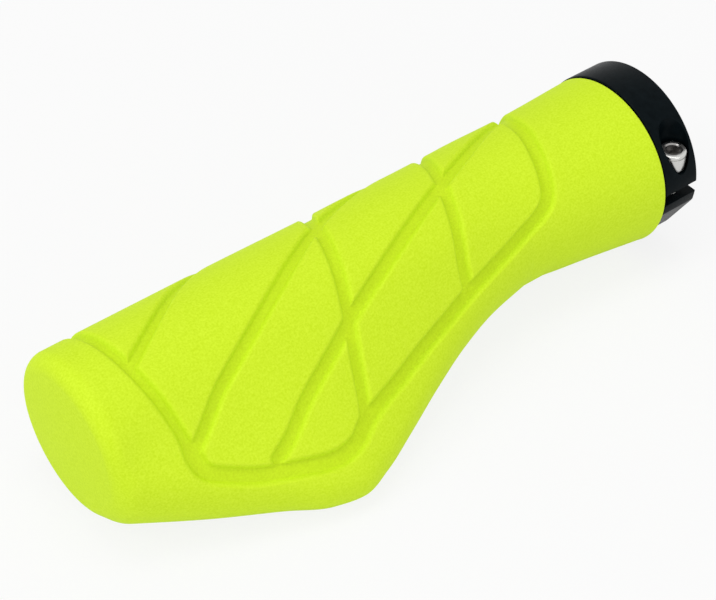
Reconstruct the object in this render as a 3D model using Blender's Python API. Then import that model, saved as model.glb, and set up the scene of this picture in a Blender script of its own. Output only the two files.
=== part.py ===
"""Handlebar grip with a palm wing, a slotted clamp collar and its screw.

The bar axis is X. The origin is the centre of the bore's mouth, on the collar's inboard face, and the
closed outboard end is at -X. The wing points to -Y and droops, and +Z is up. All sizes are in metres.
"""
import math

import bmesh
import bpy
import numpy as np
from mathutils import Matrix, Vector

# Fits
SEAT_GAP = 0.0003

# Grip
GRIP_LENGTH = 0.136
BAR_DIAMETER = 0.0222
BORE_CLEARANCE = 0.00005
SLEEVE_WALL = 0.0014
END_WALL = 0.0058

# Rubber: places along it are measured from the closed outboard end, and walls out from its bore
WING_DROOP = math.radians(24.4)
FLANGE_STEP = 0.0004
FLARE_LENGTH = 0.019
FLANGE_FILLET = 0.0005
END_FILLET = 0.0034
END_DOME = 0.0005
PALM_CROWN = 0.0008
CROWN_REACH = 0.0176
TUBE_WALLS = ((0.0, 0.00335), (0.031, 0.00335), (0.066, 0.00295), (0.091, 0.0023))
NECK_WALL = 0.00255
WAIST_SHIFTS = ((0.0, 0.0), (0.056, 0.0003), (0.080, 0.0010), (0.094, 0.0015), (0.108, 0.0012), (0.127, 0.0))
WING_WALLS = (
    (0.0, 0.00335),
    (0.016, 0.01165),
    (0.028, 0.01715),
    (0.036, 0.02085),
    (0.042, 0.02205),
    (0.048, 0.02005),
    (0.056, 0.01635),
    (0.066, 0.01145),
    (0.076, 0.00705),
    (0.086, 0.00375),
    (0.096, 0.00175),
)
WING_TIP_RADII = (
    (0.0, 0.0128),
    (0.026, 0.0079),
    (0.046, 0.0053),
    (0.071, 0.0082),
    (0.091, 0.0130),
    (0.100, 0.0140),
)

# Grooves: distance from the outboard end, and angle about the bar from -Y, upwards positive, in degrees.
# The four borders run on into each other as one closed groove.
BORDER_DEPTH = 0.00108
RISING_DEPTH = 0.0010
FALLING_DEPTH = 0.00092
LATTICE_GROOVE = 0.0023
BORDER_GROOVE = 0.0028
WING_GROOVE = 0.0035
GROOVE_WALL_SLOPE = 0.4
OUTBOARD_BORDER = (
    (0.0095, 207),
    (0.0093, 165),
    (0.0095, 125),
    (0.0102, 93),
    (0.0115, 66),
    (0.0132, 42),
    (0.0142, 20),
)
WING_BORDER = (
    (0.0144, 8),
    (0.0153, 0),
    (0.0180, -4),
    (0.0240, -8),
    (0.0330, -10),
    (0.0390, -11),
    (0.0435, -10),
    (0.0465, -8),
)
INBOARD_BORDER = (
    (0.052, -6),
    (0.058, -4),
    (0.066, 0),
    (0.073, 4),
    (0.081, 11),
    (0.088, 18),
    (0.095, 27),
    (0.0995, 35),
    (0.1017, 43),
    (0.103, 54),
    (0.1045, 75),
    (0.106, 95),
    (0.1075, 116),
    (0.109, 133),
    (0.1105, 155),
    (0.111, 180),
    (0.109, 197),
)
UNDER_BORDER = ((0.104, 204), (0.095, 207), (0.070, 208), (0.040, 208), (0.015, 208))
RISING_GROOVES = (
    (
        (0.0120, 74),
        (0.0194, 92),
        (0.0255, 108),
        (0.0307, 122),
        (0.039, 143),
        (0.0475, 165),
        (0.063, 208),
    ),
    (
        (0.0147, 11),
        (0.0182, 20),
        (0.0233, 34),
        (0.030, 48),
        (0.0444, 77),
        (0.0576, 105),
        (0.068, 124),
        (0.080, 145),
        (0.091, 165),
        (0.108, 198),
    ),
    (
        (0.0265, -5),
        (0.0307, 0),
        (0.0356, 8),
        (0.0456, 23),
        (0.0535, 38),
        (0.066, 60),
        (0.0805, 84),
        (0.0927, 103),
        (0.1001, 115),
        (0.1085, 129),
    ),
)
FALLING_GROOVES = (
    (
        (0.0459, -9),
        (0.0483, 1),
        (0.0513, 26),
        (0.0537, 53),
        (0.0569, 89),
        (0.0606, 130),
        (0.066, 170),
        (0.070, 208),
    ),
    (
        (0.0782, 9),
        (0.0795, 36),
        (0.0829, 76),
        (0.0863, 110),
        (0.090, 150),
        (0.095, 207),
    ),
)

# Clamp collar
COLLAR_WIDTH = 0.0084
COLLAR_WALL = 0.00605
COLLAR_CHAMFER = 0.0004
SLIT_TOP = 0.0011
SLIT_WIDTH = 0.0026
JAW_FLAT_ANGLE = -32
JAW_FLAT_DEPTH = 0.0010
LUG_ANGLES = (90, 180, 270)
LUG_SPREAD = 34
LUG_LENGTH = 0.002

# Clamp screw, an M3 socket head
SCREW_RADIUS = 0.0015
SCREW_LENGTH = 0.010
HEAD_RADIUS = 0.00255
HEAD_HEIGHT = 0.0040
HEAD_CHAMFER = 0.0003
HEX_SIDES = 6
SOCKET_WIDTH = 0.0025
SOCKET_DEPTH = 0.0016
SOCKET_MOUTH = 0.0018
SOCKET_BEVEL = 0.0004
SCREW_SETBACK = 0.0036
SCREW_INSET = 0.00255
POCKET_FLOOR = 0.0042
POCKET_CLEARANCE = 0.0005
TIP_CLEARANCE = 0.0008

# Facets and the steps of the curves, as shares of a step or turns in degrees where they aren't lengths
AROUND = 48
TURNED_STEPS = 64
LUG_STEPS = 6
SCREW_STEPS = 32
RING_SPACING = 0.0033
GROOVE_STEP = 0.0045
GROOVE_OVERRUN = 0.13
FINE_DEGREES = 1.0
STEEPEST_TANGENT = 0.1
PROBE_STEP = 0.0002
PROBE_TURN = 0.01
FLANGE_TURNS = (0, 45)
END_TURNS = (20, 40, 60, 78)
DOME_SCALES = (1.0, 0.75, 0.4)
SMOOTH_BELOW = math.radians(35)
CUT_SPARE = 0.001
MERGE_DISTANCE = 1e-7

# Sizes that follow from those above
BORE_RADIUS = BAR_DIAMETER / 2 + BORE_CLEARANCE
SLEEVE_RADIUS = BORE_RADIUS + SLEEVE_WALL
COLLAR_RADIUS = BORE_RADIUS + COLLAR_WALL
FLANGE_RADIUS = COLLAR_RADIUS + FLANGE_STEP
SCREW_OFFSET = BORE_RADIUS + SCREW_INSET
RUBBER_BORE = SLEEVE_RADIUS + SEAT_GAP
RUBBER_LENGTH = GRIP_LENGTH - COLLAR_WIDTH - SEAT_GAP
SLEEVE_END = END_WALL + SEAT_GAP
POCKET_RADIUS = HEAD_RADIUS + POCKET_CLEARANCE
SCREW_HOLE_RADIUS = SCREW_RADIUS + SEAT_GAP
HEAD_SEAT = POCKET_FLOOR + SEAT_GAP
HOLE_END = HEAD_SEAT - SCREW_LENGTH - TIP_CLEARANCE


def clear_scene():
    for item in list(bpy.data.objects):
        bpy.data.objects.remove(item, do_unlink=True)


def make_material(name, colour, roughness, metallic=0.0):
    material = bpy.data.materials.new(name)
    material.use_nodes = True
    shader = material.node_tree.nodes["Principled BSDF"]
    shader.inputs["Base Color"].default_value = (*colour, 1.0)
    shader.inputs["Roughness"].default_value = roughness
    shader.inputs["Metallic"].default_value = metallic
    return material


def add_object(name, bm, material=None):
    """Makes an object of a bmesh, smooth apart from its sharp edges. With no material it is a cutter."""
    bmesh.ops.recalc_face_normals(bm, faces=bm.faces)
    mesh = bpy.data.meshes.new(name)
    bm.to_mesh(mesh)
    bm.free()
    item = bpy.data.objects.new(name, mesh)
    bpy.context.scene.collection.objects.link(item)
    if material:
        mesh.materials.append(material)
        mesh.shade_smooth()
        mesh.set_sharp_from_angle(angle=SMOOTH_BELOW)
    else:
        item.hide_render = True
        item.display_type = "WIRE"
    return item


def cut(item, cutter):
    modifier = item.modifiers.new(cutter.name, "BOOLEAN")
    modifier.operation = "DIFFERENCE"
    modifier.solver = "EXACT"
    modifier.object = cutter
    cutter.parent = item


def smooth_value(stations, place):
    """A smooth curve through (place, value) stations that never overshoots one of them."""
    x = np.array([station[0] for station in stations])
    y = np.array([station[1] for station in stations])
    step = np.diff(x)
    slope = np.diff(y) / step
    tangent = np.zeros(len(x))
    for i in range(1, len(x) - 1):
        if slope[i - 1] * slope[i] > 0:
            before = 2 * step[i] + step[i - 1]
            after = step[i] + 2 * step[i - 1]
            tangent[i] = (before + after) / (before / slope[i - 1] + after / slope[i])
    tangent[0] = slope[0]
    tangent[-1] = slope[-1]
    place = min(max(place, x[0]), x[-1])
    i = min(int(np.searchsorted(x, place, side="right")) - 1, len(x) - 2)
    t = (place - x[i]) / step[i]
    return (
        y[i] * (1 + 2 * t) * (1 - t) ** 2
        + step[i] * tangent[i] * t * (1 - t) ** 2
        + y[i + 1] * t * t * (3 - 2 * t)
        + step[i] * tangent[i + 1] * t * t * (t - 1)
    )


def tube_radius(place):
    """Radius of the rubber's round part, which flares to the flange beside the collar."""
    flare_start = RUBBER_LENGTH - FLARE_LENGTH
    stations = [(along, RUBBER_BORE + wall) for along, wall in TUBE_WALLS if along < flare_start]
    stations += [(flare_start, RUBBER_BORE + NECK_WALL), (RUBBER_LENGTH, FLANGE_RADIUS)]
    return smooth_value(stations, place)


def outline_radius(place, angle):
    """Distance from the bar axis to the rubber's outline, at an angle from the wing's direction.

    Each section is the crowned hull of two circles: the tube, shifted a little away from the wing, and
    the wing's rounded tip. It is worked out as the nearest of the hull's tangent lines.
    """
    normals = np.radians(np.arange(0.0, 360.0, FINE_DEGREES))
    tube = tube_radius(place)
    reach = RUBBER_BORE + smooth_value(WING_WALLS, place)
    tip = min(smooth_value(WING_TIP_RADII, place), tube)
    tube_line = tube - smooth_value(WAIST_SHIFTS, place) * np.cos(normals)
    wing_line = tip + (reach - tip) * np.cos(normals)
    crown = PALM_CROWN * min(max((reach - tube) / CROWN_REACH, 0.0), 1.0)
    hull = np.maximum(tube_line, wing_line)
    hull = np.maximum(hull, (tube_line + wing_line + np.hypot(tube_line - wing_line, crown)) / 2)
    if place < END_FILLET:
        hull = hull - END_FILLET + math.sqrt(END_FILLET**2 - (END_FILLET - place) ** 2)
    across = np.cos(np.asarray(angle)[..., None] - normals)
    near = across > STEEPEST_TANGENT
    return np.where(near, hull / np.where(near, across, 1.0), np.inf).min(axis=-1)


def surface_point(place, angle):
    """The point of the rubber's surface at a distance from the outboard end and an angle from -Y."""
    radius = float(outline_radius(place, angle + WING_DROOP))
    return Vector((place - GRIP_LENGTH, -radius * math.cos(angle), radius * math.sin(angle)))


def section_ring(place, inset=0.0, scale=1.0):
    """Points round one section, closer together where the outline turns sharply."""
    angles = np.radians(np.arange(-180.0, 180.1, FINE_DEGREES))
    radii = (outline_radius(place, angles) - inset) * scale
    across = np.stack([radii * np.cos(angles), radii * np.sin(angles)])
    steps = np.diff(across, axis=1)
    length = np.concatenate([[0.0], np.cumsum(np.hypot(*steps))])
    heading = np.unwrap(np.arctan2(steps[1], steps[0]))
    turned = np.concatenate([[0.0], (heading - heading[0])])
    turned = np.maximum.accumulate(turned)
    measure = length / length[-1] + turned / turned[-1]
    wanted = np.linspace(0.0, measure[-1], AROUND + 1)[:-1]
    spread = np.interp(wanted, measure, angles)
    distance = np.interp(spread, angles, radii)
    return ring_points(distance, spread - WING_DROOP)


def ring_points(radii, angles):
    return [(-r * math.cos(a), r * math.sin(a)) for r, a in zip(radii, angles)]


def loft(rings, closed=False):
    """A skin of flat triangles through rings of points, capped at both ends or joined end to end."""
    bm = bmesh.new()
    loops = []
    for points in rings:
        verts = [bm.verts.new(point) for point in points]
        edges = [bm.edges.new((verts[i - 1], verts[i])) for i in range(len(verts))]
        loops.append((verts, edges))
    for first, second in zip(loops, loops[1:]):
        bmesh.ops.bridge_loops(bm, edges=first[1] + second[1])
    if closed:
        bmesh.ops.bridge_loops(bm, edges=loops[-1][1] + loops[0][1])
    else:
        bm.faces.new(loops[0][0])
        bm.faces.new(loops[-1][0])
    bmesh.ops.triangulate(bm, faces=bm.faces)
    return bm


def rubber_rings():
    """Rings round the inboard face's edge, along the grip and over its domed end."""
    flat_rings = []
    for turn in FLANGE_TURNS:
        inset = FLANGE_FILLET * (1 - math.sin(math.radians(turn)))
        setback = FLANGE_FILLET * (1 - math.cos(math.radians(turn)))
        flat_rings.append((RUBBER_LENGTH - setback, section_ring(RUBBER_LENGTH, inset)))
    along = RUBBER_LENGTH - FLANGE_FILLET - END_FILLET
    count = round(along / RING_SPACING)
    for i in range(count + 1):
        place = RUBBER_LENGTH - FLANGE_FILLET - along * i / count
        flat_rings.append((place, section_ring(place)))
    for turn in END_TURNS:
        place = END_FILLET * (1 - math.sin(math.radians(turn)))
        flat_rings.append((place, section_ring(place)))
    for scale in DOME_SCALES:
        flat_rings.append((-END_DOME * (1 - scale**2), section_ring(0.0, scale=scale)))
    return [[(place - GRIP_LENGTH, y, z) for y, z in points] for place, points in flat_rings]


def path_samples(points, closed=False):
    """Places, angles and widths along a smooth curve through a groove's points, about GROOVE_STEP apart."""
    knots = [Vector((place, math.radians(angle), width)) for place, angle, width in points]
    if closed:
        ends = [knots[-1]] + knots + knots[:2]
    else:
        ends = [2 * knots[0] - knots[1]] + knots + [2 * knots[-1] - knots[-2]]
    samples = []
    for i in range(1, len(ends) - 2):
        before, start, end, after = ends[i - 1 : i + 3]
        length = (surface_point(*end[:2]) - surface_point(*start[:2])).length
        count = max(1, round(length / GROOVE_STEP))
        for j in range(count):
            t = j / count
            samples.append(
                start
                + t * (end - before) / 2
                + t**2 * (before - 2.5 * start + 2 * end - 0.5 * after)
                + t**3 * (1.5 * start - before / 2 - 1.5 * end + after / 2)
            )
    if not closed:
        samples.append(knots[-1])
        samples[0] += (samples[0] - samples[1]) * GROOVE_OVERRUN
        samples[-1] += (samples[-1] - samples[-2]) * GROOVE_OVERRUN
    return samples


def surface_normal(place, angle):
    along = surface_point(place + PROBE_STEP, angle) - surface_point(place - PROBE_STEP, angle)
    around = surface_point(place, angle + PROBE_TURN) - surface_point(place, angle - PROBE_TURN)
    normal = around.cross(along).normalized()
    outward = Vector((0.0, -math.cos(angle), math.sin(angle)))
    return normal if normal.dot(outward) > 0 else -normal


def groove(points, depth, closed=False):
    """A groove with sloping walls, which follows the surface through (place, angle, width) points."""
    samples = path_samples(points, closed)
    centres = [surface_point(place, angle) for place, angle, _ in samples]
    last = len(samples) - 1
    rings = []
    for i, (place, angle, width) in enumerate(samples):
        behind = centres[i - 1] if i > 0 or closed else centres[0]
        ahead = centres[i + 1] if i < last else centres[0 if closed else last]
        normal = surface_normal(place, angle)
        side = (ahead - behind).cross(normal).normalized()
        top = side * (width / 2 + GROOVE_WALL_SLOPE * CUT_SPARE)
        floor = side * (width / 2 - GROOVE_WALL_SLOPE * depth)
        high = centres[i] + normal * CUT_SPARE
        low = centres[i] - normal * depth
        rings.append((high - top, high + top, low + floor, low - floor))
    return loft(rings, closed)


def widened(points, width):
    return [(place, angle, width) for place, angle in points]


def make_rubber():
    material = make_material("lime_rubber", (0.65, 0.88, 0.03), 0.7)
    rubber = add_object("grip_rubber", loft(rubber_rings()), material)
    blind = END_WALL - GRIP_LENGTH
    beyond = RUBBER_LENGTH + CUT_SPARE - GRIP_LENGTH
    bore = turned([(blind, 0), (blind, RUBBER_BORE), (beyond, RUBBER_BORE), (beyond, 0)], "X", TURNED_STEPS)
    cut(rubber, add_object("bore", bore))
    border = (
        widened(OUTBOARD_BORDER, LATTICE_GROOVE)
        + widened(WING_BORDER, WING_GROOVE)
        + widened(INBOARD_BORDER, BORDER_GROOVE)
        + widened(UNDER_BORDER, BORDER_GROOVE)
    )
    cut(rubber, add_object("groove_border", groove(border, BORDER_DEPTH, closed=True)))
    lattice = [("rising", RISING_GROOVES, RISING_DEPTH), ("falling", FALLING_GROOVES, FALLING_DEPTH)]
    for name, grooves, depth in lattice:
        for i, points in enumerate(grooves, 1):
            cut(rubber, add_object(f"groove_{name}_{i}", groove(widened(points, LATTICE_GROOVE), depth)))
    return rubber


def turned(profile, axis, steps, sweep=math.tau):
    """A solid of revolution about the X or Z axis from (along, radius) points."""
    bm = bmesh.new()
    if axis == "X":
        verts = [bm.verts.new((along, -radius, 0.0)) for along, radius in profile]
        direction = Vector((1, 0, 0))
    else:
        verts = [bm.verts.new((radius, 0.0, along)) for along, radius in profile]
        direction = Vector((0, 0, 1))
    full = sweep == math.tau
    if full:
        closed = profile[0][1] > 0
        edges = [bm.edges.new((verts[i - 1], verts[i])) for i in range(0 if closed else 1, len(verts))]
        geom = verts + edges
    else:
        geom = [bm.faces.new(verts)]
    bmesh.ops.spin(
        bm, geom=geom, axis=direction, cent=(0, 0, 0), angle=sweep, steps=steps, use_merge=full
    )
    bmesh.ops.remove_doubles(bm, verts=bm.verts, dist=MERGE_DISTANCE)
    return bm


def turn_about_bar(bm, degrees):
    """Turns a shape about the bar axis, from -Y upwards."""
    turn = Matrix.Rotation(math.radians(-degrees), 3, "X")
    bmesh.ops.rotate(bm, verts=bm.verts, cent=(0, 0, 0), matrix=turn)
    return bm


def ring_piece(front, back, inner, outer, spread):
    """A piece of a ring wall, centred on -Y, spread degrees wide."""
    profile = [(front, inner), (front, outer), (back, outer), (back, inner)]
    bm = turned(profile, "X", LUG_STEPS, math.radians(spread))
    return turn_about_bar(bm, spread / 2)


def angle_about_bar(point):
    """Degrees from -Y, upwards positive."""
    return math.degrees(math.atan2(point.z, -point.y)) % 360


def make_sleeve():
    """The sleeve's lugs are drawn out from its mouth, and key into the collar."""
    blind = SLEEVE_END - GRIP_LENGTH
    mouth = RUBBER_LENGTH - GRIP_LENGTH
    profile = [(blind, BORE_RADIUS), (blind, SLEEVE_RADIUS), (mouth, SLEEVE_RADIUS), (mouth, BORE_RADIUS)]
    bm = turned(profile, "X", TURNED_STEPS)
    bmesh.ops.recalc_face_normals(bm, faces=bm.faces)
    lug_faces = []
    for face in bm.faces:
        centre = face.calc_center_median()
        offsets = [abs(angle_about_bar(centre) - angle) for angle in LUG_ANGLES]
        if face.normal.x > 0.5 and min(offsets) < LUG_SPREAD / 2:
            lug_faces.append(face)
    drawn = bmesh.ops.extrude_face_region(bm, geom=lug_faces)["geom"]
    bmesh.ops.delete(bm, geom=lug_faces, context="FACES")
    tips = [item for item in drawn if isinstance(item, bmesh.types.BMVert)]
    bmesh.ops.translate(bm, verts=tips, vec=(LUG_LENGTH - COLLAR_WIDTH - mouth, 0, 0))
    return add_object("core_sleeve", bm, make_material("black_nylon", (0.02, 0.02, 0.02), 0.5))


def block(low, high):
    bm = bmesh.new()
    bmesh.ops.create_cube(bm, size=1.0)
    low = Vector(low)
    high = Vector(high)
    bmesh.ops.scale(bm, verts=bm.verts, vec=high - low)
    bmesh.ops.translate(bm, verts=bm.verts, vec=(low + high) / 2)
    return bm


def upright_cylinder(radius, low, high, steps=SCREW_STEPS, top_radius=None):
    """A cylinder or cone on the screw's axis, from one height to another."""
    bm = bmesh.new()
    bmesh.ops.create_cone(
        bm,
        cap_ends=True,
        segments=steps,
        radius1=radius,
        radius2=top_radius or radius,
        depth=high - low,
    )
    bmesh.ops.translate(bm, verts=bm.verts, vec=(0, 0, (low + high) / 2))
    return bm


def make_collar():
    material = make_material("black_anodised", (0.006, 0.008, 0.009), 0.4, 1.0)
    back = -COLLAR_WIDTH
    low = COLLAR_RADIUS - COLLAR_CHAMFER
    profile = [
        (0.0, BORE_RADIUS),
        (0.0, low),
        (-COLLAR_CHAMFER, COLLAR_RADIUS),
        (back + COLLAR_CHAMFER, COLLAR_RADIUS),
        (back, low),
        (back, BORE_RADIUS),
    ]
    collar = add_object("clamp_collar", turned(profile, "X", TURNED_STEPS), material)
    beyond = COLLAR_RADIUS + CUT_SPARE
    far = back - CUT_SPARE
    slit = block((far, -beyond, SLIT_TOP - SLIT_WIDTH), (CUT_SPARE, CUT_SPARE - BORE_RADIUS, SLIT_TOP))
    cut(collar, add_object("slit", slit))
    flat_floor = JAW_FLAT_DEPTH - COLLAR_RADIUS
    flat = block((far, -beyond, -COLLAR_RADIUS), (CUT_SPARE, flat_floor, COLLAR_RADIUS))
    cut(collar, add_object("jaw_flat", turn_about_bar(flat, JAW_FLAT_ANGLE)))
    pocket = upright_cylinder(POCKET_RADIUS, POCKET_FLOOR, beyond)
    hole = upright_cylinder(SCREW_HOLE_RADIUS, HOLE_END, POCKET_FLOOR + CUT_SPARE)
    for name, shape in (("pocket", pocket), ("screw_hole", hole)):
        cutter = add_object(name, shape)
        cutter.location = (-SCREW_SETBACK, -SCREW_OFFSET, 0.0)
        cut(collar, cutter)
    for angle in LUG_ANGLES:
        spread = LUG_SPREAD + 2 * math.degrees(SEAT_GAP / BORE_RADIUS)
        tip = back + LUG_LENGTH + SEAT_GAP
        notch = ring_piece(tip, far, BORE_RADIUS - CUT_SPARE, RUBBER_BORE, spread)
        cut(collar, add_object(f"notch_{angle}", turn_about_bar(notch, angle)))
    return collar


def make_screw():
    material = make_material("bright_steel", (0.62, 0.62, 0.6), 0.25, 1.0)
    profile = [
        (HEAD_HEIGHT, 0.0),
        (HEAD_HEIGHT, HEAD_RADIUS - HEAD_CHAMFER),
        (HEAD_HEIGHT - HEAD_CHAMFER, HEAD_RADIUS),
        (0.0, HEAD_RADIUS),
        (0.0, SCREW_RADIUS),
        (HEAD_CHAMFER - SCREW_LENGTH, SCREW_RADIUS),
        (-SCREW_LENGTH, SCREW_RADIUS - HEAD_CHAMFER),
        (-SCREW_LENGTH, 0.0),
    ]
    screw = add_object("clamp_screw", turned(profile, "Z", SCREW_STEPS), material)
    across_corners = SOCKET_WIDTH / math.cos(math.pi / HEX_SIDES)
    socket_floor = HEAD_HEIGHT - SOCKET_DEPTH
    socket = upright_cylinder(across_corners / 2, socket_floor, HEAD_HEIGHT + CUT_SPARE, HEX_SIDES)
    mouth = upright_cylinder(
        SOCKET_MOUTH - SOCKET_BEVEL,
        HEAD_HEIGHT - SOCKET_BEVEL,
        HEAD_HEIGHT + SOCKET_BEVEL,
        top_radius=SOCKET_MOUTH + SOCKET_BEVEL,
    )
    cut(screw, add_object("socket", socket))
    cut(screw, add_object("socket_mouth", mouth))
    screw.location = (-SCREW_SETBACK, -SCREW_OFFSET, HEAD_SEAT)
    return screw


def main():
    clear_scene()
    make_rubber()
    make_sleeve()
    make_collar()
    make_screw()


main()
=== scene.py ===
import math

import bmesh
import bpy
import numpy as np
from mathutils import Matrix, Vector


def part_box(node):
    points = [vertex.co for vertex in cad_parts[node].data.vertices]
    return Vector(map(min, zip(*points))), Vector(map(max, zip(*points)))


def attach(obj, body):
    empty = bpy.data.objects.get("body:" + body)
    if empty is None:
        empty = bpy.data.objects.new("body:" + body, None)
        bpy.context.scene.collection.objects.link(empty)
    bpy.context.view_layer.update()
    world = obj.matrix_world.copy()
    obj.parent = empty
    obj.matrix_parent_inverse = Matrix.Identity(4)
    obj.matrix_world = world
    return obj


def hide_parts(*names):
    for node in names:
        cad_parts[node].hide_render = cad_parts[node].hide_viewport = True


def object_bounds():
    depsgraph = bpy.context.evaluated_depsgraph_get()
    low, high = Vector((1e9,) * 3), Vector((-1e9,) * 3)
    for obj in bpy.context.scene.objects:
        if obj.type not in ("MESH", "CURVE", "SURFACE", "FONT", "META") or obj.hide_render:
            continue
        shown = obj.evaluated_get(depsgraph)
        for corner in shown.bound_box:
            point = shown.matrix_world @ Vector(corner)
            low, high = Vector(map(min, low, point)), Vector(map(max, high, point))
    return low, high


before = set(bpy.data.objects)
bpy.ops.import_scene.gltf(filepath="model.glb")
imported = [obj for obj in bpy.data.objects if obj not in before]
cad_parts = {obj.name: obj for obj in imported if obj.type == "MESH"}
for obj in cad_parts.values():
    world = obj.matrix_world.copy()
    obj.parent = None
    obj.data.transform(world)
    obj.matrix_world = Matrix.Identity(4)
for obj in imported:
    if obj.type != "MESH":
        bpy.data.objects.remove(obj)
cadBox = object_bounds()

print("frame loaded:", sorted(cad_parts))


# the fit that the pieces share, and how finely their edges are rounded
fit = {
    "boreRadius": 0.01115,
    "sleeveWall": 0.0014,
    "seatGap": 0.0003,
    "spare": 0.001,  # how far a cutting shape runs past what it cuts
    "weld": 1e-6,  # points closer than this are one
    "leastLength": 1e-12,  # keeps a division by a length finite
    "roundingSteps": 5,
    "edgeSteps": 2,
    "edgeAngle": math.radians(30),
}
fit["sleeveRadius"] = fit["boreRadius"] + fit["sleeveWall"]
fit["rubberBore"] = fit["sleeveRadius"] + fit["seatGap"]


# a mesh that is given its material and put in the scene
def newPiece(name, bm, material):
    bmesh.ops.recalc_face_normals(bm, faces=bm.faces)
    mesh = bpy.data.meshes.new(name)
    bm.to_mesh(mesh)
    bm.free()
    mesh.materials.append(material)
    mesh.shade_smooth()
    piece = bpy.data.objects.new(name, mesh)
    bpy.context.scene.collection.objects.link(piece)
    return piece


# makes what a piece's modifiers show into its own mesh
def applyModifiers(piece):
    bpy.context.view_layer.update()
    whole = piece.evaluated_get(bpy.context.evaluated_depsgraph_get())
    mesh = bpy.data.meshes.new_from_object(whole)
    piece.modifiers.clear()
    piece.data = mesh


# cuts a shape out of a piece, or joins it on, and keeps only the result
def carve(piece, bm, operation="DIFFERENCE"):
    bmesh.ops.recalc_face_normals(bm, faces=bm.faces)
    toolMesh = bpy.data.meshes.new("tool")
    bm.to_mesh(toolMesh)
    bm.free()
    tool = bpy.data.objects.new("tool", toolMesh)
    bpy.context.scene.collection.objects.link(tool)
    modifier = piece.modifiers.new("carve", "BOOLEAN")
    modifier.operation = operation
    modifier.solver = "EXACT"
    modifier.object = tool
    applyModifiers(piece)
    bpy.data.objects.remove(tool, do_unlink=True)


# a ring or disc turned from (along, radius) corners, whose corners may be rounded
def turned(corners, steps, axis="X", sweep=math.tau, rounding=()):
    bm = bmesh.new()
    if axis == "X":
        verts = [bm.verts.new((along, -radius, 0)) for along, radius in corners]
        direction = (1, 0, 0)
    else:
        verts = [bm.verts.new((radius, 0, along)) for along, radius in corners]
        direction = (0, 0, 1)
    bm.faces.new(verts)
    for corner, radius in rounding:
        bmesh.ops.bevel(
            bm,
            geom=[verts[corner]],
            affect="VERTICES",
            offset=radius,
            segments=fit["roundingSteps"],
            profile=0.5,  # a round arc
            material=-1,
        )
    if sweep < math.tau:
        bmesh.ops.spin(bm, geom=bm.faces[:], axis=direction, cent=(0, 0, 0), angle=sweep, steps=steps)
        return bm
    bmesh.ops.delete(bm, geom=bm.faces[:], context="FACES_ONLY")
    # the edge that lies on the axis turns into nothing, so it goes
    onAxis = [e for e in bm.edges if all(distanceToAxis(v.co, axis) < fit["weld"] for v in e.verts)]
    bmesh.ops.delete(bm, geom=onAxis, context="EDGES")
    outline = bm.verts[:] + bm.edges[:]
    bmesh.ops.spin(bm, geom=outline, axis=direction, cent=(0, 0, 0), angle=sweep, steps=steps, use_merge=True)
    bmesh.ops.remove_doubles(bm, verts=bm.verts, dist=fit["weld"])
    return bm


def distanceToAxis(point, axis):
    return math.hypot(point.y, point.z) if axis == "X" else math.hypot(point.x, point.y)


# turns a shape about the bar, from the wing's side upwards
def turnAboutBar(bm, degrees):
    turn = Matrix.Rotation(math.radians(-degrees), 3, "X")
    bmesh.ops.rotate(bm, verts=bm.verts, cent=(0, 0, 0), matrix=turn)
    return bm


# materials read object coordinates, so a noise's scale is in features per metre
def newMaterial(name, colour, roughness, metallic=0.0):
    material = bpy.data.materials.new(name)
    material.use_nodes = True
    nodes = material.node_tree.nodes
    shader = nodes["Principled BSDF"]
    shader.inputs["Base Color"].default_value = (*colour, 1)
    shader.inputs["Roughness"].default_value = roughness
    shader.inputs["Metallic"].default_value = metallic
    nodes.new("ShaderNodeTexCoord").name = "place"
    return material


def addNoise(material, scale, detail, stretch=None):
    nodes, links = material.node_tree.nodes, material.node_tree.links
    noise = nodes.new("ShaderNodeTexNoise")
    noise.inputs["Scale"].default_value = scale
    noise.inputs["Detail"].default_value = detail
    place = nodes["place"].outputs["Object"]
    if stretch:
        mapping = nodes.new("ShaderNodeMapping")
        mapping.inputs["Scale"].default_value = stretch
        links.new(place, mapping.inputs["Vector"])
        place = mapping.outputs["Vector"]
    links.new(place, noise.inputs["Vector"])
    return noise.outputs["Fac"]


def spreadTo(tree, value, fromLow, fromHigh, toLow, toHigh):
    spread = tree.nodes.new("ShaderNodeMapRange")
    numbers = {"From Min": fromLow, "From Max": fromHigh, "To Min": toLow, "To Max": toHigh}
    for name, number in numbers.items():
        spread.inputs[name].default_value = number
    tree.links.new(value, spread.inputs["Value"])
    return spread.outputs["Result"]


# noise stays near its middle, so the part of it that is reached is spread over the whole range
noiseReach = (0.3, 0.7)


def spreadNoise(material, noise, low=0, high=1):
    return spreadTo(material.node_tree, noise, *noiseReach, low, high)


# a Mix node takes its colours at inputs 6 and 7 and gives one at output 2
def mixColour(material, share, first, second):
    mix = material.node_tree.nodes.new("ShaderNodeMix")
    mix.data_type = "RGBA"
    material.node_tree.links.new(share, mix.inputs[0])
    for socket, colour in ((mix.inputs[6], first), (mix.inputs[7], second)):
        if isinstance(colour, tuple):
            socket.default_value = (*colour, 1)
        else:
            material.node_tree.links.new(colour, socket)
    return mix.outputs[2]


def connect(material, value, socket):
    shader = material.node_tree.nodes["Principled BSDF"]
    material.node_tree.links.new(value, shader.inputs[socket])


def readAttribute(material, name):
    attribute = material.node_tree.nodes.new("ShaderNodeAttribute")
    attribute.attribute_name = name
    return attribute.outputs["Fac"]


def addBump(material, height, distance):
    nodes, links = material.node_tree.nodes, material.node_tree.links
    bump = nodes.new("ShaderNodeBump")
    bump.inputs["Distance"].default_value = distance
    links.new(height, bump.inputs["Height"])
    connect(material, bump.outputs["Normal"], "Normal")


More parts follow.
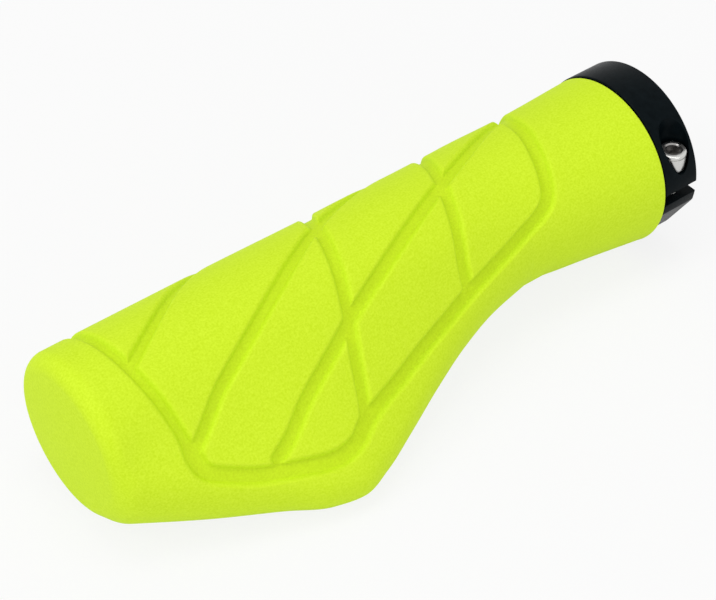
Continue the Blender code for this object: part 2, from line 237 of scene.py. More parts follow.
# a mottled finish of uneven roughness and fine pores; a noise is given as (scale, detail)
def mottledMaterial(name, finish):
    material = newMaterial(name, finish["base"], finish["roughness"])
    shader = material.node_tree.nodes["Principled BSDF"]
    shader.inputs["Specular IOR Level"].default_value = finish["specular"]
    mottle = spreadNoise(material, addNoise(material, *finish["mottle"]))
    connect(material, mixColour(material, mottle, finish["deep"], finish["light"]), "Base Color")
    wear = spreadNoise(material, addNoise(material, *finish["wear"]), *finish["roughnessRange"])
    connect(material, wear, "Roughness")
    addBump(material, addNoise(material, *finish["pores"]), finish["poreDepth"])
    return material


# the rubber body; places are measured from the closed outboard end, and walls out from the rubber's bore
rubber = {
    "wingDroop": math.radians(24.4),
    "flangeRadius": 0.01753,
    "flareLength": 0.019,
    "flangeFillet": 0.0005,
    "endFillet": 0.0034,
    "endDome": 0.0005,
    "endWall": 0.0058,
    "palmCrown": 0.0008,
    "crownReach": 0.0176,
    "tubeWalls": ((0.0, 0.00335), (0.031, 0.00335), (0.066, 0.00295), (0.091, 0.0023)),
    "neckWall": 0.0031,
    "waistShifts": (
        (0.0, 0.0),
        (0.056, 0.0003),
        (0.080, 0.0010),
        (0.094, 0.0014),
        (0.108, 0.0006),
        (0.127, -0.0003),
    ),
    "wingWalls": (
        (0.0, 0.0037),
        (0.016, 0.0118),
        (0.028, 0.01715),
        (0.036, 0.02085),
        (0.042, 0.02188),
        (0.048, 0.02005),
        (0.056, 0.01635),
        (0.066, 0.01145),
        (0.076, 0.00705),
        (0.086, 0.00375),
        (0.096, 0.00175),
    ),
    "wingTipRadii": (
        (0.0, 0.0128),
        (0.026, 0.0079),
        (0.046, 0.0053),
        (0.071, 0.0082),
        (0.091, 0.0130),
        (0.100, 0.0140),
    ),
    "boreLip": 0.00015,
    "leastAcross": 0.1,  # the least cosine between a point's angle and a heading that bounds it
    "columns": 500,
    "turningWeight": 0.25,  # how much a sharp turn draws columns in, against the outline's length
    "plainWeight": 0.3,  # how densely the ungrooved underside is divided, against the rest
    "plainFrom": -132,  # degrees from the wing's direction
    "plainTo": 6,
    "plainFade": 12,
    "rowSpacing": 0.00021,
    "plainRowSpacing": 0.0008,
    "groovesEnd": 0.1135,
    "flangeRows": 6,
    "endRows": 17,
    "domeScales": (0.97, 0.9, 0.8, 0.65, 0.5, 0.35, 0.2, 0.1, 0.0),
    "keptFaces": 194000,  # triangles left once the flat parts are thinned
    "finish": {
        "light": (0.68, 0.91, 0.025),
        "deep": (0.59, 0.825, 0.003),
        # the groove floors' colours: the rubber darkened by painted shade
        "shadedFloorPale": (0.625, 0.855, 0.010),
        "shadedFloorDeep": (0.555, 0.765, 0.002),
        "grain": (2600, 2),
        "pores": (3400, 2),
        "poreDepth": 0.00004,
        "roughness": 0.7,
        "specular": 0.3,
    },
}
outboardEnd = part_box("grip_rubber")[0].x + rubber["endDome"]
rubber["length"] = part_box("grip_rubber")[1].x - outboardEnd
rubber["gripLength"] = -outboardEnd

# the grooves' paths as (place, angle about the bar from -Y upwards, in degrees); the borders join in a ring
grooves = {
    "borderDepth": 0.00108,
    "risingDepth": 0.0010,
    "fallingDepth": 0.00092,
    "risingWidths": (0.0023, 0.0025, 0.0027),
    "fallingWidths": (0.0025, 0.0025),
    "outboardWidth": 0.0023,
    "borderWidth": 0.0030,
    "wingWidth": 0.0035,
    "wallSlope": 0.4,  # how far the floor is drawn in from a groove's edge, for each metre of its depth
    "shoulder": 0.0009,  # how far the panels' rounded edges reach out from a groove's floor
    "shadeFade": 0.5,  # the share of the shoulder over which the floor's painted shade fades out
    "cornerRounding": 0.00012,
    "faintest": 1e-30,  # keeps the logarithm finite far from every groove
    "sampleStep": 0.0006,
    "outboardBorder": (
        (0.0095, 207),
        (0.0093, 165),
        (0.0095, 125),
        (0.0102, 93),
        (0.0113, 66),
        (0.0127, 42),
        (0.0137, 20),
    ),
    "wingBorder": (
        (0.0141, 8),
        (0.0150, 0),
        (0.0180, -4),
        (0.0240, -8),
        (0.0330, -10),
        (0.0390, -11),
        (0.0435, -10),
        (0.0465, -8),
    ),
    "inboardBorder": (
        (0.052, -6),
        (0.058, -4),
        (0.066, 0),
        (0.073, 4),
        (0.0812, 11),
        (0.0882, 18),
        (0.0952, 27),
        (0.0997, 35),
        (0.1018, 43),
        (0.103, 54),
        (0.1047, 75),
        (0.1063, 95),
        (0.1075, 116),
        (0.109, 133),
        (0.1105, 155),
        (0.111, 180),
        (0.109, 197),
    ),
    "underBorder": ((0.104, 204), (0.095, 207), (0.070, 208), (0.040, 208), (0.015, 208)),
    "rising": (
        (
            (0.0120, 74),
            (0.0194, 92),
            (0.0255, 108),
            (0.0307, 122),
            (0.039, 143),
            (0.0475, 165),
            (0.063, 208),
        ),
        (
            (0.0152, 11),
            (0.0187, 20),
            (0.0238, 34),
            (0.0303, 48),
            (0.0444, 77),
            (0.0576, 105),
            (0.068, 124),
            (0.080, 145),
            (0.091, 165),
            (0.108, 198),
        ),
        (
            (0.0279, -5),
            (0.0321, 0),
            (0.0370, 8),
            (0.0470, 23),
            (0.0549, 38),
            (0.0672, 60),
            (0.0813, 84),
            (0.0930, 103),
            (0.1001, 115),
            (0.1085, 129),
        ),
    ),
    "falling": (
        (
            (0.0461, -9),
            (0.0485, 1),
            (0.0515, 26),
            (0.0539, 53),
            (0.0571, 89),
            (0.0608, 130),
            (0.066, 170),
            (0.070, 208),
        ),
        (
            (0.0784, 9),
            (0.0797, 36),
            (0.0831, 76),
            (0.0865, 110),
            (0.090, 150),
            (0.095, 207),
        ),
    ),
}


# a smooth curve through (place, value) stations that never overshoots one of them
def smoothValue(stations, place):
    x = np.array([station[0] for station in stations])
    y = np.array([station[1] for station in stations])
    step = np.diff(x)
    slope = np.diff(y) / step
    tangent = np.zeros(len(x))
    for i in range(1, len(x) - 1):
        if slope[i - 1] * slope[i] > 0:
            before = 2 * step[i] + step[i - 1]
            after = step[i] + 2 * step[i - 1]
            tangent[i] = (before + after) / (before / slope[i - 1] + after / slope[i])
    tangent[0], tangent[-1] = slope[0], slope[-1]
    place = min(max(place, x[0]), x[-1])
    i = min(int(np.searchsorted(x, place, side="right")) - 1, len(x) - 2)
    t = (place - x[i]) / step[i]
    return (
        y[i] * (1 + 2 * t) * (1 - t) ** 2
        + step[i] * tangent[i] * t * (1 - t) ** 2
        + y[i + 1] * t * t * (3 - 2 * t)
        + step[i] * tangent[i + 1] * t * t * (t - 1)
    )


# the radius of the round tube that carries the wing
def tubeRadius(place):
    flareStart = rubber["length"] - rubber["flareLength"]
    stations = [(along, fit["rubberBore"] + wall) for along, wall in rubber["tubeWalls"]]
    stations.append((flareStart, fit["rubberBore"] + rubber["neckWall"]))
    stations.append((rubber["length"], rubber["flangeRadius"]))
    return smoothValue(stations, place)


headings = np.radians(np.arange(360))


# how far the section's outline reaches in each heading: the hull of the tube and the wing's tip, crowned
def sectionHull(place):
    tube = tubeRadius(place)
    reach = fit["rubberBore"] + smoothValue(rubber["wingWalls"], place)
    tip = min(smoothValue(rubber["wingTipRadii"], place), tube)
    tubeLine = tube - smoothValue(rubber["waistShifts"], place) * np.cos(headings)
    wingLine = tip + (reach - tip) * np.cos(headings)
    crown = rubber["palmCrown"] * min(max((reach - tube) / rubber["crownReach"], 0.0), 1.0)
    hull = np.maximum(tubeLine, wingLine)
    hull = np.maximum(hull, (tubeLine + wingLine + np.hypot(tubeLine - wingLine, crown)) / 2)
    fillet = rubber["endFillet"]
    if place < fillet:
        hull = hull - fillet + math.sqrt(fillet**2 - (fillet - place) ** 2)
    return hull


# distance from the bar axis to the outline, at angles from the wing's direction
def outlineRadius(place, angles):
    across = np.cos(angles[:, None] - headings)
    near = across > rubber["leastAcross"]
    return np.where(near, sectionHull(place) / np.where(near, across, 1.0), np.inf).min(axis=1)


# a point on the ungrooved surface, at an angle about the bar from -Y upwards
def surfacePoint(place, angle):
    radius = outlineRadius(place, np.array([angle + rubber["wingDroop"]]))[0]
    return Vector((place - rubber["gripLength"], -radius * math.cos(angle), radius * math.sin(angle)))


# 1 where the surface is grooved and less on the plain underside, by the angle from the wing's direction
def columnWeight(angles):
    degrees = np.degrees(angles)
    fadeIn = np.clip((degrees - rubber["plainFrom"]) / rubber["plainFade"], 0, 1)
    fadeOut = np.clip((rubber["plainTo"] - degrees) / rubber["plainFade"], 0, 1)
    return 1 - (1 - rubber["plainWeight"]) * fadeIn * fadeOut


# the angles at which a section's columns stand: even along its outline, closer where it turns sharply
def columnAngles(place):
    angles = np.radians(np.arange(-180, 181))
    radii = outlineRadius(place, angles)
    steps = np.diff(np.stack([radii * np.cos(angles), radii * np.sin(angles)]), axis=1)
    arc = np.hypot(*steps) * columnWeight((angles[1:] + angles[:-1]) / 2)
    heading = np.unwrap(np.arctan2(steps[1], steps[0]))
    turning = np.maximum.accumulate(heading - heading[0])
    turning = np.concatenate([[0.0], turning])
    measure = np.concatenate([[0.0], np.cumsum(arc)])
    measure = measure / measure[-1] + rubber["turningWeight"] * turning / turning[-1]
    return np.interp(np.linspace(0, measure[-1], rubber["columns"] + 1), measure, angles)


# one row of points: x, and a section of the outline, drawn in by an inset and a scale
def sectionRow(x, place, inset=0.0, scale=1.0):
    angles = columnAngles(place)
    radii = (outlineRadius(place, angles) - inset) * scale
    return rowOf(x, radii, angles)


# the points at some radii and angles about the bar; the angles are measured from the wing's direction
def rowOf(x, radii, angles):
    turnedBack = angles - rubber["wingDroop"]
    across, up = -radii * np.cos(turnedBack), radii * np.sin(turnedBack)
    return np.stack([np.full(len(angles), x), across, up], axis=1)


# rows from the bore's blind end, out over the inboard face, along the grip and over its domed end
def rubberRows():
    length, fillet, bore = rubber["length"], rubber["flangeFillet"], fit["rubberBore"]
    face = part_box("grip_rubber")[1].x
    blind = rubber["endWall"] - rubber["gripLength"]
    rimAngles = columnAngles(length)
    lip = rubber["boreLip"]
    rows = []
    for x, radius in (
        (blind, 0.0),
        (blind, bore / 2),
        (blind, bore - lip),
        (blind, bore),
        (blind + lip, bore),
        ((blind + face) / 2, bore),
        (face - lip, bore),
        (face, bore),
        (face, bore + lip),
    ):
        rows.append(rowOf(x, np.full(len(rimAngles), radius), rimAngles))
    rows.append(sectionRow(face, length, fillet + lip))
    for turn in np.radians(np.linspace(0, 90, rubber["flangeRows"])):
        inset = fillet * (1 - math.sin(turn))
        rows.append(sectionRow(face - fillet * (1 - math.cos(turn)), length, inset))
    firstGrooved = len(rows)
    for place in alongPlaces():
        rows.append(sectionRow(place - rubber["gripLength"], place))
    lastGrooved = len(rows)
    for turn in np.radians(np.linspace(0, 90, rubber["endRows"]))[1:]:
        place = rubber["endFillet"] * (1 - math.sin(turn))
        rows.append(sectionRow(place - rubber["gripLength"], place))
    for scale in rubber["domeScales"]:
        x = -rubber["endDome"] * (1 - scale**2) - rubber["gripLength"]
        rows.append(sectionRow(x, 0.0, scale=scale))
    return np.array(rows), firstGrooved, lastGrooved


# places of the rows between the two fillets, closer together where there are grooves
def alongPlaces():
    grooved, inboard = rubber["groovesEnd"], rubber["length"] - rubber["flangeFillet"]
    plainCount = round((inboard - grooved) / rubber["plainRowSpacing"])
    groovedCount = round((grooved - rubber["endFillet"]) / rubber["rowSpacing"])
    plain = np.linspace(inboard, grooved, plainCount + 1)[1:-1]
    return np.concatenate([plain, np.linspace(grooved, rubber["endFillet"], groovedCount + 1)])


# points on a smooth curve through a groove's path, and half the groove's width at each
def grooveSamples(points, closed):
    knots = [Vector((place, math.radians(angle), width)) for place, angle, width in points]
    if closed:
        ends = [knots[-1]] + knots + knots[:2]
    else:
        ends = [2 * knots[0] - knots[1]] + knots + [2 * knots[-1] - knots[-2]]
    samples = []
    for i in range(1, len(ends) - 2):
        before, start, end, after = ends[i - 1 : i + 3]
        length = (surfacePoint(*end[:2]) - surfacePoint(*start[:2])).length
        count = max(1, round(length / grooves["sampleStep"]))
        for j in range(count):
            t = j / count
            place, angle, width = (
                start
                + t * (end - before) / 2
                + t**2 * (before - 2.5 * start + 2 * end - 0.5 * after)
                + t**3 * (1.5 * start - before / 2 - 1.5 * end + after / 2)
            )
            samples.append((*surfacePoint(place, angle), width / 2))
    if closed:
        samples.append(samples[0])
    return np.array(samples)


def widened(points, width):
    return [(place, angle, width) for place, angle in points]


# how far each point lies outside a groove's floor, and below zero inside it
def floorDistance(points, path, depth, closed):
    samples = grooveSamples(path, closed)
    nearest = np.full(len(points), np.inf)
    reach = grooves["shoulder"] + max(samples[:, 3])
    for start, end in zip(samples, samples[1:]):
        low, high = min(start[0], end[0]) - reach, max(start[0], end[0]) + reach
        near = np.nonzero((points[:, 0] > low) & (points[:, 0] < high))[0]
        run = end[:3] - start[:3]
        share = np.clip((points[near] - start[:3]) @ run / (run @ run), 0, 1)
        gap = np.linalg.norm(points[near] - start[:3] - share[:, None] * run, axis=1)
        half = start[3] + share * (end[3] - start[3]) - grooves["wallSlope"] * depth
        nearest[near] = np.minimum(nearest[near], gap - half)
    return nearest


# how deep each point is sunk, and how much painted shade darkens its groove floor: flat floors with crisp
# feet, whose walls roll over into the panels
def grooveDepths(points):
    border = (
        widened(grooves["outboardBorder"], grooves["outboardWidth"])
        + widened(grooves["wingBorder"], grooves["wingWidth"])
        + widened(grooves["inboardBorder"] + grooves["underBorder"], grooves["borderWidth"])
    )
    paths = [(border, grooves["borderDepth"], True)]
    for name in ("rising", "falling"):
        for path, width in zip(grooves[name], grooves[name + "Widths"]):
            paths.append((widened(path, width), grooves[name + "Depth"], False))
    total, deep = np.full(len(points), grooves["faintest"]), np.zeros(len(points))
    for path, depth, closed in paths:
        weight = np.exp(-floorDistance(points, path, depth, closed) / grooves["cornerRounding"])
        total += weight
        deep += weight * depth
    outside = -grooves["cornerRounding"] * np.log(total)
    rise = np.clip(outside / grooves["shoulder"], 0, 1)
    return deep / total * (1 - rise) ** 2, 1 - np.clip(rise / grooves["shadeFade"], 0, 1)


# the rows of the rubber as one closed mesh, sunk along its outward normals where there are grooves
def makeRubber():
    rows, first, last = rubberRows()
    along = np.gradient(rows, axis=0)
    wrapped = np.concatenate([rows[:, -2:-1], rows, rows[:, 1:2]], axis=1)
    normals = np.cross(wrapped[:, 2:] - wrapped[:, :-2], along)
    normals /= np.maximum(np.linalg.norm(normals, axis=2, keepdims=True), fit["leastLength"])
    outward = rows * (0, 1, 1)
    normals *= np.where((outward * normals).sum(axis=2, keepdims=True) < 0, -1, 1)
    grooved = rows[first:last]
    # floor is how much painted shade each point's groove floor gets
    depth, floor = grooveDepths(grooved.reshape(-1, 3))
    rows[first:last] = grooved - normals[first:last] * depth.reshape(*grooved.shape[:2], 1)
    paintedShades = np.zeros(rows.shape[:2])
    paintedShades[first:last] = floor.reshape(grooved.shape[:2])
    rows[:, -1], paintedShades[:, -1] = rows[:, 0], paintedShades[:, 0]

    bm = bmesh.new()
    rowCount, columnCount = paintedShades.shape
    half = 0.5
    bmesh.ops.create_grid(bm, x_segments=rowCount - 1, y_segments=columnCount - 1, size=half)
    paintedShadeLayer = bm.verts.layers.float.new("paintedGrooveShade")
    for vert in bm.verts:
        i = round((vert.co.x + half) * (rowCount - 1))
        j = round((vert.co.y + half) * (columnCount - 1))
        vert.co = rows[i, j]
        vert[paintedShadeLayer] = paintedShades[i, j]
    bmesh.ops.remove_doubles(bm, verts=bm.verts, dist=fit["weld"])
    bmesh.ops.triangulate(bm, faces=bm.faces)
    share = rubber["keptFaces"] / len(bm.faces)
    piece = newPiece("gripRubber", bm, limeRubber())
    thinFlats(piece, share)
    print("rubber:", len(piece.data.vertices), "points,", len(piece.data.polygons), "faces")
    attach(piece, "root")
    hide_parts("grip_rubber")


# takes triangles out of the flat parts and keeps them where the surface bends
def thinFlats(piece, share):
    modifier = piece.modifiers.new("thin", "DECIMATE")
    modifier.ratio = share
    applyModifiers(piece)


# matte moulded rubber with a very fine grain, and painted shade that darkens the floors of the grooves
def limeRubber():
    finish = rubber["finish"]
    material = newMaterial("limeRubber", finish["light"], finish["roughness"])
    shader = material.node_tree.nodes["Principled BSDF"]
    shader.inputs["Specular IOR Level"].default_value = finish["specular"]
    grain = spreadNoise(material, addNoise(material, *finish["grain"]))
    panel = mixColour(material, grain, finish["deep"], finish["light"])
    # floor is the rubber darkened by painted shade, for the floors of the grooves
    floor = mixColour(material, grain, finish["shadedFloorDeep"], finish["shadedFloorPale"])
    connect(material, mixColour(material, readAttribute(material, "paintedGrooveShade"), panel, floor), "Base Color")
    addBump(material, addNoise(material, *finish["pores"]), finish["poreDepth"])
    return material


makeRubber()


# a box between two corners
def block(low, high):
    bm = bmesh.new()
    bmesh.ops.create_cube(bm, size=1.0)
    low, high = Vector(low), Vector(high)
    bmesh.ops.scale(bm, verts=bm.verts, vec=high - low)
    bmesh.ops.translate(bm, verts=bm.verts, vec=(low + high) / 2)
    return bm


# an upright rod, cone or hexagon centred on Z
def upright(radius, low, high, segments=96, topRadius=None):
    bm = bmesh.new()
    bmesh.ops.create_cone(
        bm, cap_ends=True, segments=segments, radius1=radius, radius2=topRadius or radius, depth=high - low
    )
    bmesh.ops.translate(bm, verts=bm.verts, vec=(0, 0, (low + high) / 2))
    return bm


def moved(bm, place):
    bmesh.ops.translate(bm, verts=bm.verts, vec=place)
    return bm


# crisp flats and soft small edges, once a piece has its cuts
def finishEdges(piece, width):
    piece.data.shade_smooth()
    bevel = piece.modifiers.new("edges", "BEVEL")
    bevel.width = width
    bevel.segments = fit["edgeSteps"]
    bevel.limit_method = "ANGLE"
    bevel.angle_limit = fit["edgeAngle"]
    bevel.harden_normals = True


# the split clamp collar
collar = {
    "width": 0.0084,
    "radius": 0.0174,
    "rimRounding": 0.0003,
    "boreRounding": 0.00025,
    "slitTop": 0.0011,
    "slitWidth": 0.0026,
    "jawFlatAngle": -32,
    "jawFlatDepth": 0.0010,
    "pocketFloor": 0.0042,
    "pocketRadius": 0.0032,
    "holeRadius": 0.0018,
    "holeEnd": -0.0058,
    "screwPlace": Vector((-0.0039, -0.0137, 0.0)),
    "lugAngles": (90, 180, 270),
    "lugSpread": 34,
    "lugLength": 0.002,
    "steps": 192,
    "notchSteps": 24,
    "edge": 0.00012,
    "finish": {
        "base": (0.002, 0.004, 0.005),
        "deep": (0.001, 0.003, 0.004),
        "light": (0.003, 0.006, 0.0075),
        "specular": 0.04,
        "roughness": 0.36,
        "roughnessRange": (0.31, 0.42),
        "mottle": (700, 4),
        "wear": (2600, 3),
        "pores": (5200, 2),
        "poreDepth": 0.000012,
    },
}


# part of a ring about the bar, centred on -Y
def ringPiece(front, back, inner, outer, spread):
    corners = [(front, inner), (front, outer), (back, outer), (back, inner)]
    bm = turned(corners, collar["notchSteps"], sweep=math.radians(spread))
    return turnAboutBar(bm, spread / 2)


# the ring, cut by its slit, the lower jaw's flat, the pocket, the screw's hole and the lugs' notches
def makeCollar():
    outer, inner, width = collar["radius"], fit["boreRadius"], collar["width"]
    rim, soft = collar["rimRounding"], collar["boreRounding"]
    corners = [(0, inner), (0, outer), (-width, outer), (-width, inner)]
    ring = turned(corners, collar["steps"], rounding=((0, soft), (1, rim), (2, rim), (3, soft)))
    piece = newPiece("clampCollar", ring, mottledMaterial("blackAnodised", collar["finish"]))
    near, far, beyond = fit["spare"], -width - fit["spare"], outer + fit["spare"]
    top = collar["slitTop"]
    carve(piece, block((far, -beyond, top - collar["slitWidth"]), (near, near - inner, top)))
    flat = block((far, -beyond, -outer), (near, collar["jawFlatDepth"] - outer, outer))
    carve(piece, turnAboutBar(flat, collar["jawFlatAngle"]))
    floor = collar["pocketFloor"]
    carve(piece, moved(upright(collar["pocketRadius"], floor, beyond), collar["screwPlace"]))
    hole = upright(collar["holeRadius"], collar["holeEnd"], floor + fit["spare"])
    carve(piece, moved(hole, collar["screwPlace"]))
    spread = collar["lugSpread"] + 2 * math.degrees(fit["seatGap"] / inner)
    tip = -width + collar["lugLength"] + fit["seatGap"]
    for angle in collar["lugAngles"]:
        notch = ringPiece(tip, far, inner - fit["spare"], fit["rubberBore"], spread)
        carve(piece, turnAboutBar(notch, angle))
    finishEdges(piece, collar["edge"])
    print("collar:", len(piece.data.polygons), "faces before its edges are rounded")
    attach(piece, "root")
    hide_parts("clamp_collar")


makeCollar()

# the socket screw that closes the collar
screw = {
    "shankRadius": 0.0015,
    "coreRadius": 0.00122,
    "length": 0.010,
    "threadLength": 0.0075,
    "pitch": 0.0005,
    "ridgeShare": 0.46,  # half a thread ridge's width, against the pitch
    "ridgeSink": 0.00005,  # how far the ridge's root lies in the core
    "headRadius": 0.00268,
    "headHeight": 0.0040,
    "headRounding": 0.0003,
    "seatRounding": 0.00012,
    "band": 0.0007,  # a fine turned line this far under the head's top
    "bandWidth": 0.00028,
    "bandDepth": 0.00018,
    "socketSides": 6,
    "socketWidth": 0.0025,
    "socketDepth": 0.0022,
    "drillTip": 0.0001,
    "drillDepth": 0.0005,
    "drillSteps": 48,
    "mouthRadius": 0.0019,
    "mouthSlope": 0.00025,
    "headSeat": 0.0045,
    "steps": 96,
    "threadSteps": 32,
    "edge": 0.00004,
    "finish": {
        "bright": (0.62, 0.62, 0.60),
        # the socket's colour: the plating darkened by painted shade
        "shadedPlating": (0.33, 0.32, 0.31),
        "roughness": 0.24,
        "roughnessRange": (0.24, 0.36),
        "turning": (900, 3, (1, 1, 14)),
        "turningDepth": 0.000004,
    },
}


# one triangular ridge wound up the shank, a little narrower than the pitch so its turns stay apart
def threadRidge():
    pitch, low = screw["pitch"], -screw["length"] + screw["pitch"] / 2
    root, rise = screw["coreRadius"] - screw["ridgeSink"], screw["ridgeShare"] * pitch
    bm = bmesh.new()
    corners = ((root, low - rise), (screw["shankRadius"], low), (root, low + rise))
    bm.faces.new([bm.verts.new((radius, 0, along)) for radius, along in corners])
    turns = int(screw["threadLength"] / pitch)
    steps = screw["threadSteps"]
    bmesh.ops.spin(
        bm,
        geom=bm.faces[:],
        axis=(0, 0, 1),
        cent=(0, 0, 0),
        dvec=(0, 0, pitch / steps),
        angle=math.tau * turns,
        steps=steps * turns,
    )
    return bm


# the turned screw with its thread, hexagon socket, drilled foot and sloping mouth
def makeScrew():
    head, height, core = screw["headRadius"], screw["headHeight"], screw["coreRadius"]
    band, bandRadius = height - screw["band"], head - screw["bandDepth"]
    bandFoot = band - screw["bandWidth"]
    threadTop = screw["threadLength"] - screw["length"]
    corners = [
        (height, 0),
        (height, head),
        (band, head),
        (band, bandRadius),
        (bandFoot, bandRadius),
        (bandFoot, head),
        (0, head),
        (0, screw["shankRadius"]),
        (threadTop, screw["shankRadius"]),
        (threadTop, core),
        (-screw["length"], core),
        (-screw["length"], 0),
    ]
    rounding = ((1, screw["headRounding"]), (6, screw["seatRounding"]))
    body = turned(corners, screw["steps"], axis="Z", rounding=rounding)
    piece = newPiece("clampScrew", body, brightSteel())
    carve(piece, threadRidge(), "UNION")
    sides, width, floor = screw["socketSides"], screw["socketWidth"], height - screw["socketDepth"]
    acrossCorners = width / math.cos(math.pi / sides)
    carve(piece, upright(acrossCorners / 2, floor, height + fit["spare"], segments=sides))
    tip, drillFoot = screw["drillTip"], floor - screw["drillDepth"]
    drill = upright(tip, drillFoot, floor + tip, segments=screw["drillSteps"], topRadius=width / 2 - tip)
    carve(piece, drill)
    slope, mouth = screw["mouthSlope"], screw["mouthRadius"]
    carve(piece, upright(mouth - slope, height - slope, height + slope, topRadius=mouth + slope))
    # the socket's faces are marked for painted shade
    socketShade = piece.data.attributes.new("socketShade", "FLOAT", "FACE")
    for face in piece.data.polygons:
        across, along = math.hypot(face.center.x, face.center.y), face.center.z
        inSocket = across < mouth and drillFoot - fit["weld"] < along < height - fit["weld"]
        socketShade.data[face.index].value = float(inSocket)
    piece.data.transform(Matrix.Translation(collar["screwPlace"] + Vector((0, 0, screw["headSeat"]))))
    finishEdges(piece, screw["edge"])
    print("screw:", len(piece.data.polygons), "faces before its edges are rounded")
    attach(piece, "root")
    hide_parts("clamp_screw")


# bright plating, darkened by painted shade down in the socket
def brightSteel():
    finish = screw["finish"]
    material = newMaterial("brightSteel", finish["bright"], finish["roughness"], metallic=1.0)
    platingAndShade = mixColour(material, readAttribute(material, "socketShade"), finish["bright"], finish["shadedPlating"])
    connect(material, platingAndShade, "Base Color")
    turnedLines = addNoise(material, *finish["turning"])
    connect(material, spreadNoise(material, turnedLines, *finish["roughnessRange"]), "Roughness")
    addBump(material, turnedLines, finish["turningDepth"])
    return material


makeScrew()

# the plastic sleeve under the rubber, whose lugs key into the collar
sleeve = {
    "steps": 192,
    "edge": 0.00015,
    "finish": {
        "base": (0.016, 0.016, 0.017),
        "deep": (0.013, 0.013, 0.014),
        "light": (0.022, 0.022, 0.023),
        "specular": 0.5,
        "roughness": 0.5,
        "roughnessRange": (0.44, 0.6),
        "mottle": (600, 3),
        "wear": (1800, 3),
        "pores": (3600, 2),
        "poreDepth": 0.00002,
    },
}


# a plain tube, whose lugs are drawn out of its inboard face
def makeSleeve():
    low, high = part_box("core_sleeve")
    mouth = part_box("grip_rubber")[1].x
    inner, outer = fit["boreRadius"], fit["sleeveRadius"]
    bm = turned([(low.x, inner), (low.x, outer), (mouth, outer), (mouth, inner)], sleeve["steps"])
    bmesh.ops.recalc_face_normals(bm, faces=bm.faces)
    lugFaces = []
    for face in bm.faces:
        centre = face.calc_center_median()
        angle = math.degrees(math.atan2(centre.z, -centre.y)) % 360
        facesInboard = face.normal.x > 0.5
        fromLug = min(abs(angle - lug) for lug in collar["lugAngles"])
        if facesInboard and fromLug < collar["lugSpread"] / 2:
            lugFaces.append(face)
    drawn = bmesh.ops.extrude_face_region(bm, geom=lugFaces)["geom"]
    bmesh.ops.delete(bm, geom=lugFaces, context="FACES")
    tips = [item for item in drawn if isinstance(item, bmesh.types.BMVert)]
    bmesh.ops.translate(bm, verts=tips, vec=(high.x - mouth, 0, 0))
    piece = newPiece("coreSleeve", bm, mottledMaterial("blackNylon", sleeve["finish"]))
    finishEdges(piece, sleeve["edge"])
    print("sleeve:", len(piece.data.polygons), "faces before its edges are rounded")
    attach(piece, "root")
    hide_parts("core_sleeve")


makeSleeve()


# 1 for the rays that show the white background itself: the camera's, and those off metal and gloss
def backgroundRays(tree):
    rays = tree.nodes.new("ShaderNodeLightPath")
    seen = rays.outputs["Is Camera Ray"]
    for name in ("Is Glossy Ray", "Is Transmission Ray"):
        either = tree.nodes.new("ShaderNodeMath")
        either.operation = "MAXIMUM"
        tree.links.new(seen, either.inputs[0])
        tree.links.new(rays.outputs[name], either.inputs[1])
        seen = either.outputs[0]
    return seen


stage = {
    "size": 3.0,
    "gap": 0.00002,  # between the floor and the lowest point of the grip
    "colour": (0.8, 0.8, 0.8),
    "roughness": 0.9,
    "glow": 0.85,  # the share of pure white that the background's rays see
}


# a pale floor that looks white to the camera and still keeps the grip's shadow
def makeStage():
    floorMesh = bmesh.new()
    bmesh.ops.create_grid(floorMesh, x_segments=1, y_segments=1, size=stage["size"])
    bmesh.ops.translate(floorMesh, verts=floorMesh.verts, vec=(0, 0, cadBox[0].z - stage["gap"]))
    material = newMaterial("paleFloor", stage["colour"], stage["roughness"])
    tree = material.node_tree
    nodes, links = tree.nodes, tree.links
    share = spreadTo(tree, backgroundRays(tree), 0, 1, 0, stage["glow"])
    glow = nodes.new("ShaderNodeEmission")
    mix = nodes.new("ShaderNodeMixShader")
    links.new(share, mix.inputs[0])
    links.new(nodes["Principled BSDF"].outputs[0], mix.inputs[1])
    links.new(glow.outputs[0], mix.inputs[2])
    links.new(mix.outputs[0], nodes["Material Output"].inputs["Surface"])
    floor = newPiece("floor", floorMesh, material)
    print("stage done")


makeStage()


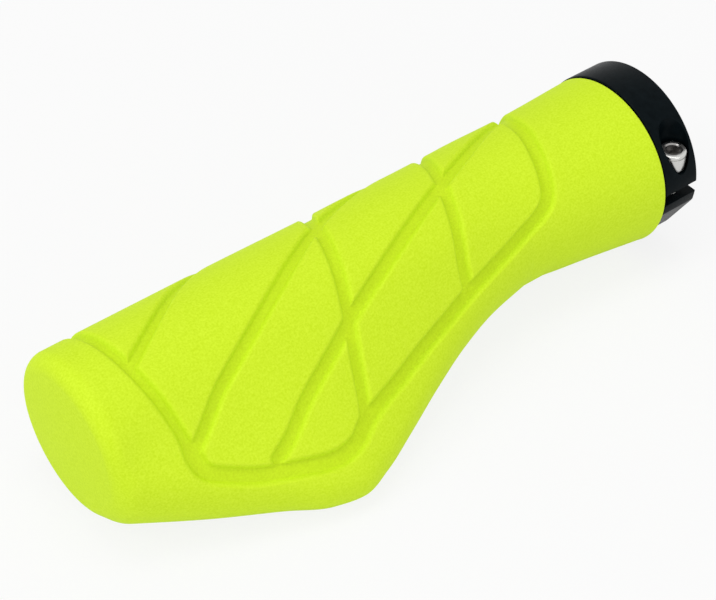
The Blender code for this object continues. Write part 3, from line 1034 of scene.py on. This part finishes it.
# four soft lamps round the grip, with the world as their fill
lights = {
    "lamps": {
        "over": {"place": (-0.07, 0.0, 0.85), "size": 0.4, "watts": 1.6},
        "left": {"place": (-0.80, 0.0, 0.36), "size": 0.4, "watts": 0.8},
        "upLeft": {"place": (-0.60, 0.12, 0.58), "size": 0.3, "watts": 1.0},
        "front": {"place": (-0.10, -0.75, 0.20), "size": 0.4, "watts": 1.0},
    },
    "world": 0.56,
}


def makeLights():
    aim = (cadBox[0] + cadBox[1]) / 2
    for name, values in lights["lamps"].items():
        lamp = bpy.data.lights.new(name, "AREA")
        lamp.shape = "DISK"
        lamp.size = values["size"]
        lamp.energy = values["watts"]
        holder = bpy.data.objects.new(name, lamp)
        holder.location = values["place"]
        holder.rotation_euler = (aim - holder.location).to_track_quat("-Z", "Y").to_euler()
        bpy.context.scene.collection.objects.link(holder)
    world = bpy.data.worlds.new("paleRoom")
    world.use_nodes = True
    tree = world.node_tree
    background = tree.nodes["Background"]
    background.inputs["Color"].default_value = (1, 1, 1, 1)
    strength = spreadTo(tree, backgroundRays(tree), 0, 1, lights["world"], 1)
    tree.links.new(strength, background.inputs["Strength"])
    bpy.context.scene.world = world
    print("lights done")


makeLights()


# the photo's camera, as it was fitted to the grip's outline
camera = {
    "place": (-0.26927, -0.25088, 0.28849),
    "towards": (0.45783, 0.57995, -0.67384),
    "sensorWidth": 36.0,
    "focalPixels": 2300,
    "pictureWidth": 716,
    "clipStart": 0.01,
}


def makeCamera():
    data = bpy.data.cameras.new("camera")
    data.sensor_width = camera["sensorWidth"]
    data.lens = camera["focalPixels"] / camera["pictureWidth"] * camera["sensorWidth"]
    data.clip_start = camera["clipStart"]
    holder = bpy.data.objects.new("camera", data)
    holder.location = camera["place"]
    holder.rotation_euler = Vector(camera["towards"]).to_track_quat("-Z", "Y").to_euler()
    bpy.context.scene.collection.objects.link(holder)
    bpy.context.scene.camera = holder


makeCamera()
bpy.context.scene.view_settings.view_transform = "Standard"
print("scene done")
